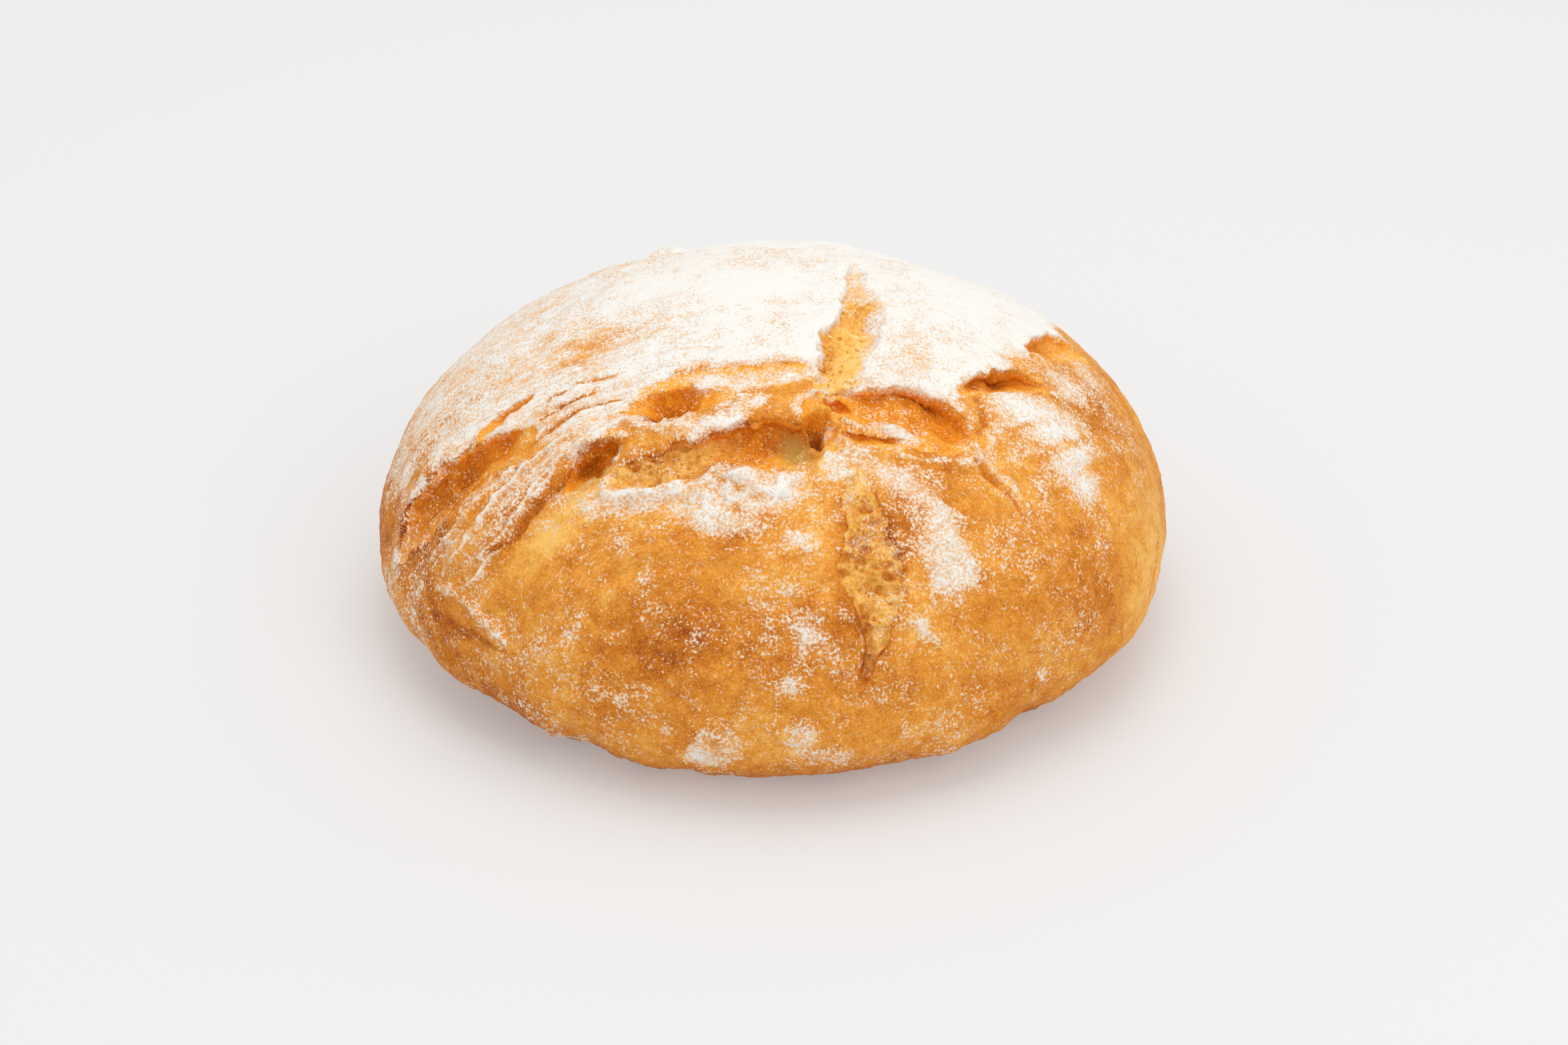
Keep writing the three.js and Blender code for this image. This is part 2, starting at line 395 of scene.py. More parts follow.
def openTear(tear, seed):
    near, across, along, left = besideLine(tear["path"], max(tear["half"]) * 1.6 + 7)
    place = plain[near]
    half = eased(along, tear["half"])
    ragged = 2.4 * softNoise(place, 7, 3, seed) + 1.3 * softNoise(place, 2.2, 3, seed + 1)
    a = (across + ragged * np.minimum(half / 5, 1)) / half
    deepest = tear["deepest"]
    up = np.clip((a - deepest) / (1 - deepest), 0, 1)
    down = np.clip((deepest - a) / (1 + deepest), 0, 1)
    wall = np.where(a > deepest, 1 - up ** 2.6, 1 - down ** 1.7)
    uneven = 1 + 0.5 * softNoise(place, 6, 3, seed + 3)
    sink[near] = np.maximum(sink[near], eased(along, tear["deep"]) * wall * uneven)
    over = eased(along, tear["over"])
    ends = smoothStep(0, 0.08, along) * smoothStep(1, 0.92, along)
    push = -over * np.exp(-((a - 1.05) / 0.28) ** 2) + 0.7 * over * np.exp(-((a - 0.62) / 0.25) ** 2)
    slide[near] += left * (push * ends)[:, None]
    lump = 0.65 + 1.1 * softNoise(place, 7, 3, seed + 2)
    high, low = tear["lips"]
    beyond = np.abs(a) * half - half
    spread = np.where(beyond > 1.2, 9, 1.4)
    lip = np.exp(-(beyond - 1.2) ** 2 / spread) * (np.abs(a) > 0.6) * np.clip(ends + 0.25, 0, 1)
    rise[near] += np.where(a > 0, high, low) * lump * lip
    inside = smoothStep(1.1, 0.88, np.abs(a))
    crumb[near] = np.maximum(crumb[near], inside * eased(along, tear["crumb"]))
    torn[near] = np.maximum(torn[near], inside)
    # painted shade: a darker band just inside the upper edge, under the overhanging lip
    browningAndShade[near] += 0.5 * np.exp(-((a - 0.95) / 0.22) ** 2) * ends
    # flour lies on the lips, thins out over the edges and only dusts the inside
    upFlour, lowFlour = tear["lipFlour"]
    edge = (np.exp(-(beyond - 1.0) ** 2 / np.where(beyond > 1.0, 8.0, 0.8))
            * np.where(a > 0, upFlour, lowFlour))
    flour[near] = np.maximum(
        flour[near], edge * np.clip(0.75 + 1.2 * softNoise(place, 5, 3, seed + 4), 0, 1.1))
    upBlend, lowBlend = tear["blend"]
    blend = np.where(a > 0, upBlend, lowBlend)
    bare = smoothStep(1.12, 0.92 - blend, np.abs(a) + 0.3 * softNoise(place, 3, 2, seed + 5) * blend)
    flour[near] += (eased(along, tear["dusted"]) - flour[near]) * bare


# Floury ground. The crown's flour ends along a line on the map, above the tears.
crownEdge = [
    (-180, 14), (-88, -2), (-76, -14), (-66, -19), (-58, -19), (-50, -24), (-44, -29), (-34, -30),
    (-27, -25), (-20, -21.5), (-12, -22), (-4, -21.5), (3, -20.5), (9, -20), (14, -24), (20, -24),
    (28, -23), (34, -25), (38, -20), (42, -12), (47, -8), (50, -3), (52, 4), (55, 14), (60, 26), (75, 38),
    (180, 60),
]
# Patches of flour: (right, back, radius right, radius back, turn in degrees, amount). Below 0: brushed off.
flourPatches = [
    (-12, -53, 8, 4.2, -15, 0.62), (-3, -51.5, 7, 3.4, 5, 0.72), (4.5, -50.5, 5, 2.6, 20, 0.72),
    (5, -58.5, 6, 1.5, 12, 0.62), (-24, -48, 9, 2.4, -8, 0.55), (-34, -46, 6, 2, -10, 0.4),
    (-8, -56, 10, 3, 0, 0.4), (-30, -53, 9, 5, 0, 0.22), (12, -41, 1.8, 4.5, 0, 0.75),
    (14, -45, 4, 4, 0, 0.5), (22, -43, 8, 3, -10, 0.5), (27, -45, 6, 3, 0, 0.45),
    (33, -49, 4.5, 4.5, 0, 0.72), (37, -55, 6, 5, 60, 0.62), (34, -58, 5, 3, 0, 0.45),
    (31, -68.5, 2.2, 2.4, 0, 0.7), (46, -50, 4, 5, 30, 0.35), (28, -53, 4, 8, 10, 0.35),
    (48, -19, 5, 5, 0, 0.7), (54, -22, 9, 7, -30, 0.85), (60, -28, 6, 4, -30, 0.55),
    (45, -28, 4, 6, 20, 0.5), (56, -16, 6, 4, -20, 0.45), (62, -17, 5, 7, 0, 0.3), (56, -4, 6, 6, 40, 0.6),
    (63, 6, 5, 8, -20, 0.45), (68, -5, 6, 10, 0, 0.25), (-50, -36, 7, 5, 35, 0.3),
    (-57, -40, 6, 4, 30, 0.28), (-44, -33, 6, 3, 20, 0.55), (-38, -35, 6, 3, 20, 0.35),
    (-62, -44, 5, 3, 30, 0.35), (-60, -54, 7, 1.8, -57, 0.45), (-79, -26, 5, 8, 0, 0.5),
    (-79, -42, 4, 7, 0, 0.35), (-71, -37, 9, 5, 20, 0.34), (-16, -92, 7, 3.5, 0, 0.6),
    (-10, -90, 5, 3, 0, 0.4), (7, -89, 4, 3, 0, 0.5), (15, -93, 9, 3, 0, 0.45), (3, -81, 4, 2, 0, 0.45),
    (-34, -79, 2.5, 2, 0, 0.4), (30, -84, 2.6, 2.6, 0, 0.5), (61, -64, 3, 1.6, 30, 0.55),
    (-24, -61.5, 2, 1.5, 0, 0.55), (44, -84, 7, 4, 50, 0.4), (-4, -86, 10, 3, 0, 0.25),
    (6, -74, 4, 3, 20, 0.5), (9, -70, 6, 1.3, 0, 0.4), (-33, -5, 10, 7, 0, -0.22),
    (-27, -8, 8, 5, 0, -0.12), (-45, -10, 12, 8, 0, -0.2), (-52, 8, 12, 12, 0, -0.15),
    (-65, -8, 9, 10, 0, -0.3), (-42, -22, 12, 5, 0, -0.2), (1, -5, 3.5, 7, 0, -0.22),
    (-5, 25, 6, 10, 20, -0.2), (28, -14, 7, 9, 0, -0.36), (-17, 8, 6, 3, 0, -0.1), (10, 3, 6, 4, 0, -0.15),
    (48, -6, 3, 6, 0, -0.2), (20, 10, 3, 9, 0, -0.12), (50, -23, 7, 1.1, 50, -0.5),
    (55, -25, 7, 1.1, 50, -0.5), (58, -20, 6, 1.0, 50, -0.45), (62, -24, 5, 1.0, 50, -0.4),
    (46.5, -27, 5, 1.0, 50, -0.4), (-6, -53, 5, 1.0, 10, -0.45), (-1, -55.5, 4, 1.0, -10, -0.4),
]
# Flour that fell into the tears after they opened, or lies on their folds.
lateFlour = [
    (-12.5, -25, 4.5, 2.2, 10, 0.8), (-4, -27, 5, 2.2, 20, 0.55), (6, -24, 4, 2, 0, 0.45),
    (17, -25.6, 6, 1.0, 28, 0.6), (-32, -38, 1.8, 1.4, 30, 0.8), (10.5, -21.5, 2, 2, 0, 0.5),
    (14, -36.6, 2, 1.4, 0, 0.6), (25, -35, 2.4, 1.4, 0, 0.6),
]
# Where the bare crust has less dust on it than elsewhere.
cleanPatches = [(20, -82, 8, 5, 0, 0.14), (66, -42, 9, 9, 0, 0.1), (-8, -76, 14, 5, 0, 0.05)]
# The unseen back and sides: the crown's flour thins out down the wall, with a few patches like the front's.
backPatches = [
    (-30, 66, 12, 6, 20, 0.5), (10, 72, 9, 5, -10, 0.55), (45, 60, 8, 6, 0, 0.45), (-60, 50, 8, 8, 0, 0.45),
    (70, 30, 7, 7, 0, 0.4), (0, 92, 16, 4, 0, 0.6), (60, 66, 5, 6, 0, 0.4), (-85, 25, 6, 8, 0, 0.4),
]


def patchAt(places, patch, edge=1.5):
    right, back, wide, deep, turn, amount = patch
    dx, dy = places[:, 0] - right, places[:, 1] - back
    cosine, sine = math.cos(math.radians(turn)), math.sin(math.radians(turn))
    far = ((dx * cosine + dy * sine) / wide) ** 2 + ((dy * cosine - dx * sine) / deep) ** 2
    return amount * np.exp(-far ** edge)


wobble = np.stack([softNoise(plain, 14, 3, 41), softNoise(plain, 14, 3, 43)], 1) * 3
wobble += np.stack([softNoise(plain, 4, 2, 42), softNoise(plain, 4, 2, 44)], 1) * 1.2
wandered = mapPlace + wobble
edgeLine = np.interp(wandered[:, 0], [p[0] for p in crownEdge], [p[1] for p in crownEdge])
fromCrown = np.hypot(mapPlace[:, 0], mapPlace[:, 1])
fade = 4 + 9 * smoothStep(50, 62, mapPlace[:, 0])
crownFlour = smoothStep(-2.5, fade, wandered[:, 1] - edgeLine) * (1 - 0.95 * smoothStep(60, 98, fromCrown))
flour = crownFlour * (1.16 + 0.35 * softNoise(plain, 16, 3, 45) - 0.34 * smoothStep(-12, -34, mapPlace[:, 0]))
for patch in flourPatches + backPatches:
    amount = patchAt(wandered, patch, 1.1)
    flour = np.where(amount > 0, flour + 1.1 * amount * (1 - np.minimum(flour, 1)), flour + amount * flour)
dust = 0.20 + 0.32 * softNoise(plain, 15, 4, 47) - 0.10 * smoothStep(46, 72, mapPlace[:, 0])
dust += 0.05 * smoothStep(-40, -62, mapPlace[:, 0])
for patch in cleanPatches:
    dust -= patchAt(mapPlace, patch)
flour = np.maximum(np.clip(flour, 0, 1.3), dust)

for number, name in enumerate(tears):
    openTear(tears[name], 60 + 7 * number)
for patch in lateFlour:
    flour += patchAt(wandered, patch, 1.1) * (1 - np.minimum(flour, 1))
print("tears opened:", len(tears))

# Ridges and folds of crust: half widths and heights along a line, flour on top, undercut on the low side.
ridges = {
    "crustStrip": {
        "path": [(2, -29), (-3, -31), (-8, -34.5), (-13, -36.5), (-19, -36.5), (-25, -33.5), (-31, -31.5),
                 (-38, -31), (-45, -33), (-50, -36), (-55, -39), (-60, -41), (-68, -38)],
        "half": [1.4, 2.0, 2.8, 3.2, 2.8, 2.8, 3.6, 5.0, 6.4, 7.0, 6.0, 4.0, 1.6],
        "high": [0.6, 1.0, 1.2, 1.2, 1.0, 0.9, 0.9, 1.0, 1.0, 1.0, 0.9, 0.7, 0.3],
        "flour": [0.6, 0.66, 0.72, 0.72, 0.7, 0.66, 0.6, 0.5, 0.42, 0.38, 0.36, 0.34, 0.3],
        "over": 0.9,
    },
    "stripFoldOne": {
        "path": [(-30, -31.5), (-38, -33.5), (-45, -37), (-51, -41.5), (-57, -44), (-62, -44)],
        "half": [0.7, 0.9, 0.9, 0.9, 0.9, 0.7], "high": [0.4, 1.0, 1.1, 1.2, 1.1, 0.3], "flour": 0.7,
        "over": 0.3,
    },
    "stripFoldTwo": {
        "path": [(-36, -30.5), (-43, -31), (-50, -33.5), (-56, -37), (-63, -40.5), (-69, -40)],
        "half": [0.7, 0.9, 0.9, 0.9, 0.9, 0.7], "high": [0.4, 0.9, 1.0, 1.1, 1.0, 0.3], "flour": 0.7,
        "over": 0.3,
    },
    "stripFoldThree": {
        "path": [(-40, -34.5), (-46, -39.5), (-52, -44), (-59, -47), (-66, -46)],
        "half": [0.6, 0.9, 0.9, 0.8, 0.6], "high": [0.3, 0.9, 1.0, 0.8, 0.3], "flour": 0.55, "over": 0.3,
    },
    "stripFoldFour": {
        "path": [(-48, -31.5), (-56, -33.5), (-63, -36), (-71, -36.5), (-77, -35)],
        "half": [0.6, 0.9, 0.9, 0.8, 0.6], "high": [0.3, 0.8, 0.9, 0.8, 0.3], "flour": 0.5, "over": 0.3,
    },
    "lipBelow": {
        "path": [(-35, -45), (-27, -47.5), (-21, -49), (-15, -48.5), (-11, -47), (-6, -48.5), (-1, -50),
                 (5, -49)],
        "half": [1.4, 1.8, 2.2, 2.0, 2.6, 3.2, 3.0, 2.0],
        "high": [0.5, 0.8, 0.9, 0.8, 1.3, 1.8, 1.6, 0.8], "flour": 0.75, "over": -0.3,
    },
    "goldLedge": {
        "path": [(-40, -43), (-35, -44.8), (-30, -43.2), (-26, -41.5), (-22, -41)],
        "half": [1.0, 1.3, 1.2, 1.0, 0.8], "high": [0.4, 1.0, 1.2, 0.8, 0.3], "flour": 0.12, "over": 0.2,
    },
    "rightLowLip": {
        "path": [(11, -42), (16, -41.6), (23, -41.2), (30, -40.2), (36, -39), (39.5, -36.5), (39.5, -31)],
        "half": [1.2, 1.2, 1.0, 1.0, 1.4, 1.6, 1.2], "high": [0.9, 0.8, 0.7, 0.7, 1.1, 1.3, 0.8],
        "flour": 0.52, "over": 0.2,
    },
    "wrinkleOne": {
        "path": [(39, -35), (43, -37.5), (48, -40), (52, -44)],
        "half": [1.4, 1.5, 1.3, 0.8], "high": [0.9, 1.1, 0.8, 0.2], "flour": [0.55, 0.36, 0.26, 0.2],
        "over": 0.3,
    },
    "wrinkleTwo": {
        "path": [(36, -39), (41, -40.5), (46, -43), (50, -47)],
        "half": [1.2, 1.4, 1.2, 0.8], "high": [0.6, 0.8, 0.7, 0.2], "flour": [0.45, 0.3, 0.26, 0.2],
        "over": 0.3,
    },
    "lowLeft": {
        "path": [(-70, -41), (-65, -46), (-62, -51), (-59, -56), (-55, -62)],
        "half": [1.2, 1.5, 1.6, 1.7, 1.0], "high": [0.4, 0.8, 0.9, 1.0, 0.3], "flour": 0.5, "over": 0.4,
    },
    "frontFold": {
        "path": [(3, -70), (8, -69), (15, -69.3), (18.5, -73), (18, -80)],
        "half": [1.2, 1.4, 1.4, 1.2, 0.9], "high": [0.3, 0.6, 0.7, 0.6, 0.2], "flour": 0.34, "over": 0.0,
    },
    "crownFlap": {
        "path": [(-27, 40), (-22, 43), (-17, 44)],
        "half": [1.2, 1.9, 1.0], "high": [0.5, 2.4, 0.4], "flour": 0.6, "over": 0.6,
    },
    "strandOne": {
        "path": [(6, -28), (8.5, -31), (10.2, -34.5), (11.2, -38.5)],
        "half": [0.9, 0.8, 0.8, 0.9], "high": [0.6, 1.6, 2.2, 1.0], "flour": 0.0, "over": 0.0,
    },
    "strandTwo": {
        "path": [(9, -31), (12.5, -30.4), (15.5, -32), (16.5, -35)],
        "half": [0.8, 0.8, 0.9, 0.8], "high": [0.6, 1.1, 1.2, 0.5], "flour": 0.1, "over": 0.0,
    },
    "scoopFoldOne": {
        "path": [(23, -29), (28, -31), (33, -33.5), (38, -36.5)],
        "half": [1.4, 1.8, 1.8, 1.4], "high": [0.2, 0.7, 0.8, 0.4], "flour": 0.0, "over": 0.0,
    },
    "scoopFoldTwo": {
        "path": [(18, -33), (24, -35), (30, -36.4), (35, -37.6)],
        "half": [1.4, 1.8, 1.6, 1.2], "high": [0.3, 0.8, 0.7, 0.2], "flour": 0.0, "over": 0.0,
    },
    "flapTop": {
        "path": [(12.5, -36), (16, -35.6), (20, -35), (24, -34.4), (26.5, -34.8)],
        "half": [1.4, 1.1, 1.0, 1.5, 0.8], "high": [1.6, 1.0, 0.8, 1.3, 0.4], "flour": 0.42, "over": -0.6,
    },
}
for number, ridge in enumerate(ridges.values()):
    seed = 200 + 5 * number
    near, across, along, left = besideLine(ridge["path"], max(ridge["half"]) * 2.2 + 3)
    place = plain[near]
    half = eased(along, ridge["half"]) * (1 + 0.5 * softNoise(place, 5, 2, seed))
    a = (across + 1.0 * softNoise(place, 3, 2, seed + 1)) / half
    ends = smoothStep(0, 0.06, along) * smoothStep(1, 0.94, along)
    body = np.exp(-np.abs(a) ** 2.6) * ends
    rise[near] += eased(along, ridge["high"]) * body * (1 + 0.7 * softNoise(place, 3.5, 3, seed + 2))
    ridgeFlour = eased(along, ridge["flour"])
    if np.max(ridge["flour"]) > 0.2:
        crumb[near] *= 1 - np.clip(body * 1.3, 0, 1)
        torn[near] *= 1 - np.clip(body * 1.3, 0, 1)
    amount = ridgeFlour * np.exp(-np.abs(a) ** 2.4) * (1.0 + 0.8 * softNoise(place, 4, 3, seed + 3))
    flour[near] = np.maximum(flour[near], np.clip(amount * ends, 0, 1.1))
    slide[near] += left * (ridge["over"] * half / 3 * body)[:, None]

# Thin creases: lines pressed into the crust.
creases = {
    "underStrip": {"path": [(-30, -34.5), (-36, -35.5), (-40, -39), (-45, -41), (-50, -44), (-56, -45.5)],
                   "half": [0.9, 1.3, 1.5, 1.5, 1.6, 0.9], "deep": [0.5, 1.0, 1.4, 1.4, 1.4, 0.4]},
    "frontSlit": {"path": [(17, -67), (19, -71), (20, -75), (19, -80), (18, -82)],
                  "half": [0.7, 1.1, 1.1, 0.9, 0.5], "deep": [0.6, 1.6, 1.8, 1.8, 0.5]},
    "lowLeftCrease": {"path": [(-73, -43), (-67, -51), (-61, -58), (-56, -62)],
                      "half": [1.0, 1.4, 1.3, 0.8], "deep": [0.3, 0.6, 0.6, 0.2]},
    "rightWall": {"path": [(84, -14), (85, -22), (84, -30)],
                  "half": [1.0, 1.4, 1.0], "deep": [0.3, 0.9, 0.3]},
    "betweenWrinkles": {"path": [(38, -37), (43, -39.3), (48, -42)],
                        "half": [0.6, 0.8, 0.6], "deep": [0.6, 1.0, 0.5]},
    "rightBridge": {"path": [(40, -31), (41, -26), (39, -21)],
                    "half": [0.7, 1.0, 0.8], "deep": [0.4, 0.9, 0.7]},
    "streakOne": {"path": [(-48, -29), (-42, -26.5), (-36, -25.5), (-30, -26)],
                  "half": [0.5, 0.6, 0.6, 0.4], "deep": [0.3, 0.6, 0.6, 0.2]},
    "streakTwo": {"path": [(-46, -24), (-41, -22.5), (-35, -22)],
                  "half": [0.5, 0.6, 0.4], "deep": [0.3, 0.5, 0.2]},
    "streakThree": {"path": [(-45, -20), (-38, -18.2), (-31, -18.5)],
                    "half": [0.5, 0.6, 0.4], "deep": [0.2, 0.4, 0.2]},
}
for number, crease in enumerate(creases.values()):
    near, across, along, _ = besideLine(crease["path"], 6)
    half = eased(along, crease["half"])
    a = (across + 0.8 * softNoise(plain[near], 3, 2, 300 + number)) / half
    dent = np.exp(-a * a) * smoothStep(0, 0.05, along) * smoothStep(1, 0.95, along)
    sink[near] += eased(along, crease["deep"]) * dent
    # painted shade: the crust is darker in the creases
    browningAndShade[near] += 0.5 * dent
    flour[near] *= 1 - 0.6 * dent

# Broad lumps and dents: (right, back, radius right, radius back, turn, height in mm).
lumps = [
    (63, -66, 10, 8, 35, -2.8), (46, -84, 5, 5, 0, 0.9), (-40, -85, 12, 6, 0, -0.7),
    (-68, -64, 12, 9, -40, -1.2), (-50, -84, 9, 6, 0, -1.2), (86, -12, 10, 16, 0, -1.3),
    (30, 40, 13, 10, 0, -1.9), (56, 26, 6, 5, 0, 0.5), (-80, -30, 6, 7, 0, 0.9), (-84, -44, 6, 5, 0, -0.9),
    (10, -58, 9, 8, 0, 0.5), (-20, -60, 14, 9, 0, 0.5), (76, -54, 8, 7, 40, -0.7), (33, -55, 7, 9, 0, 0.6),
    (52, -27, 9, 7, -30, 0.7), (-30, -6, 12, 8, 0, -0.5), (0, -12, 14, 8, 0, 0.5),
]
for lump in lumps:
    rise += patchAt(mapPlace, lump)
# Where the oven browned the crust more (above 0) or less, with some patches of painted shade and painted
# light among them.
# Painted shade: (-74, -50), (-66, -70), (-86, -30), (-78, -10) and (-72, -28) darken the left side and the
# heel,
# and (8.6, -38) darkens the deep dark hole. Painted light: (84, -22) and (58, 12) pale the lit right side.
shades = [
    (-74, -50, 13, 15, 0, 0.3), (-66, -70, 20, 10, -40, 0.42), (19, -70, 5, 6, 0, 0.3),
    (66, -42, 9, 9, 0, 0.3), (84, -22, 13, 20, 0, -0.36), (-8, -76, 30, 9, 0, 0.36),
    (2, -62, 9, 7, 0, -0.2), (-40, -47, 9, 4, 20, -0.6), (66, -6, 10, 9, 0, 0.3), (60, -50, 12, 10, 0, 0.1),
    (-78, -10, 13, 18, 0, 0.42), (-10, -70, 12, 5, 0, 0.25), (34, -45, 8, 6, 0, 0.3),
    (12, -56, 5, 9, 0, -0.2), (48, -30, 6, 8, 0, -0.1), (-28, -70, 12, 6, 10, 0.15),
    (60, -72, 14, 7, 20, 0.2), (26, -50, 3, 8, 10, 0.5), (-50, -38, 10, 5, 35, 0.3),
    (12, -15, 2.4, 8, -10, 0.9), (18, 0, 4, 5, 0, 0.6), (17, 9, 2, 6, 0, 0.5), (-22, -29.5, 7, 3.4, 0, 0.9),
    (-66, -22, 8, 3, 0, 0.5), (-36, -36, 4, 3, 0, 0.5), (-6, -37, 7, 2.5, -15, 0.3),
    (46, -11.5, 4, 3, 30, 0.5), (30, -26, 8, 3, 0, 0.1), (53, 5, 2, 5, -20, 0.4),
    (8.6, -38, 1.7, 2, 0, 2.4), (10.8, -42.5, 1.6, 4, 0, -0.7), (-86, -30, 9, 26, 0, 0.15),
    (12.4, -32.4, 2.4, 1.6, 0, 0.2), (-70, -35, 9, 5, 20, 0.35), (-72, -28, 7, 5, 0, 1.0),
    (19, -58, 6, 12, 8, 0.9), (-20, -44, 12, 4, 0, 0.85), (58, 12, 5, 6, 0, -0.4), (-4, -56, 9, 3, 0, 0.2),
]
for shade in shades:
    browningAndShade += patchAt(wandered, shade)
# painted shade: the crust darkens towards the floor, where the heel lies in shadow
browningAndShade += 0.6 * smoothStep(16, 2, plain[:, 2])
bottom = smoothStep(4.0, 0.5, plain[:, 2])  # 1 on the flat bottom crust
upright = 1 - bottom

# The skin of the crust: broad unevenness, blisters, and fine folds that run with the tears on the left.
rise += (1.0 * softNoise(plain, 42, 2, 3) + 0.8 * softNoise(plain, 15, 3, 4)) * upright
alongTears = np.column_stack([mapPlace[:, 0] * 0.2, mapPlace[:, 1] * 1.25, plain[:, 2] * 0.1])
folds = 1 - np.abs(softNoise(alongTears, 2.8, 3, 7)) * 4
foldPlace = (smoothStep(2, -28, mapPlace[:, 0]) * smoothStep(4, -14, mapPlace[:, 1])
             * smoothStep(82, 62, fromCrown))
rise += 0.32 * folds * foldPlace * upright * (1 - 0.6 * torn)
creased = np.column_stack([mapPlace[:, 0] * 0.3, mapPlace[:, 1] * 1.25, plain[:, 2] * 0.3])
wrinkled = 1 - np.abs(softNoise(creased, 4.2, 3, 8)) * 4
rise += 0.22 * wrinkled * smoothStep(-44, -58, mapPlace[:, 1]) * upright * (1 - crumb)
rise += (0.32 * softNoise(plain, 4.5, 3, 5) + 0.22 * softNoise(plain, 1.7, 2, 6)) * upright * (1 - crumb)

# Two floors where the inside baked moist, smooth and a little see-through.
moist = patchAt(mapPlace, (5.4, -41.0, 3.6, 4.6, 20, 1)) + patchAt(mapPlace, (-35, -40.8, 3.4, 2.0, 20, 0.8))
moist = np.clip(moist, 0, 1)
crumb *= 1 - moist

# The open crumb: pores between fine walls, drawn out along the way the dough was pulled.
isOpen = np.nonzero(crumb > 0.03)[0]
place = plain[isOpen]
pull = place * (0.55, 0.8, 0.9)
coarse, coarseChance = poreDistance(pull / 2.5, 1)
fine, fineChance = poreDistance(pull / 1.3, 2)
pore = smoothStep(0.5, 0.2, coarse) * (coarseChance > 0.5) * 1.3
pore = pore + smoothStep(0.5, 0.15, fine) * (fineChance > 0.35) * 0.6
pore = pore * (0.35 + 0.65 * smoothStep(-24, -36, mapPlace[isOpen, 1]))
ledge = 1 - np.abs(softNoise(place * (0.25, 0.9, 1.0), 3.6, 2, 11)) * 5
fibre = softNoise(pull * (0.5, 1, 1), 1.3, 3, 9)
sink[isOpen] += crumb[isOpen] * pore
hummocks = softNoise(place * (0.6, 1, 1), 3.4, 3, 10)
rise[isOpen] += crumb[isOpen] * (0.8 * fibre + 0.55 * ledge + 0.9 * hummocks)
# painted shade: the crumb is darker in its pores
browningAndShade[isOpen] += 0.45 * pore * crumb[isOpen]

# Flour heaps: raised where the flour is thick, and lumpy.
clumps = [
    (34, -49, 4, 4, 0, 0.6), (-8, -51.5, 9, 4, 0, 0.9), (5, -50, 5, 2.6, 20, 1.0),
    (7, -58.5, 4, 1.2, 15, 0.7), (32, -69, 2.2, 2.4, 0, 0.5), (-32, -37.8, 1.8, 1.3, 30, 1.5),
    (24, -35, 2.0, 1.2, 0, 0.9), (11.5, -40.5, 1.2, 2.6, 0, 1.0), (-12, -36.5, 8, 1.6, 0, 0.3),
    (-13, -26, 4, 1.8, 0, 0.6), (-14, -91, 7, 3, 0, 0.4), (-20, -32.5, 1.2, 0.9, 0, 1.2),
    (54, -22, 8, 6, -30, 0.5), (-50, -36, 9, 4, 35, 0.12),
]
clump = np.zeros(points)
for patch in clumps:
    clump += patchAt(wandered, patch)
lumpy = np.clip(0.4 + 1.3 * softNoise(plain, 2.6, 3, 13) + 0.6 * softNoise(plain, 1.2, 2, 14), 0, 1.6)
heap = smoothStep(0.45, 0.95, flour + 0.5 * softNoise(plain, 3.0, 3, 12))
rise += (0.2 * heap + clump * lumpy) * upright
flour = np.clip(flour + 0.4 * clump * (lumpy - 0.4), 0, 1.3)

moved = plain + outward * (rise - sink)[:, None] + slide
moved[:, 2] = np.maximum(moved[:, 2], 0)
setPlaces(loaf.data, moved * mm)
print("crust, crumb and flour shaped")

# painted shade: how deep each point lies in a tear, which darkens the torn skin; less on the pocket's pale
# floor
depthShare = np.clip(sink / 6, 0, 1.2) - 0.5 * patchAt(mapPlace, (10, -41, 3, 5, 0, 1))
surfaceMarks = {
    "flour": flour, "crumb": crumb, "browningAndShade": browningAndShade, "torn": torn, "depth": depthShare, "moist": moist,
}
for name, values in surfaceMarks.items():
    layer = loaf.data.attributes.new(name, "FLOAT", "POINT")
    layer.data.foreach_set("value", values.astype(np.float32))
flow = loaf.data.attributes.new("flow", "FLOAT_VECTOR", "POINT")
streaky = crownFlour * smoothStep(10, -30, mapPlace[:, 0]) * smoothStep(12, -6, mapPlace[:, 1])
flowPlace = np.column_stack([mapPlace * 1.25, 0.2 + 0.8 * streaky])
flow.data.foreach_set("vector", flowPlace.astype(np.float32).ravel())

bpy.ops.object.select_all(action="DESELECT")
loaf.select_set(True)
bpy.context.view_layer.objects.active = loaf
lighter = loaf.modifiers.new("lighter", "DECIMATE")
lighter.ratio = loafForm["triangles"] / (len(loaf.data.polygons) * 2)
lighter.use_collapse_triangulate = True
bpy.ops.object.modifier_apply(modifier=lighter.name)
bpy.ops.object.shade_smooth()
print("loaf mesh:", len(loaf.data.polygons), "faces")


def linear(code):
    values = [int(code[i:i + 2], 16) / 255 for i in (1, 3, 5)]
    return tuple(v / 12.92 if v <= 0.04045 else ((v + 0.055) / 1.055) ** 2.4 for v in values) + (1.0,)


def addNode(tree, kind, inputs, out=0, **settings):
    # adds a node, sets or links its inputs, and gives back the output that is used
    node = tree.nodes.new("ShaderNode" + kind)
    for name, value in settings.items():
        setattr(node, name, value)
    for socket, value in inputs.items():
        if isinstance(value, bpy.types.NodeSocket):
            tree.links.new(value, node.inputs[socket])
        else:
            node.inputs[socket].default_value = value
    return node.outputs[out] if node.outputs else node


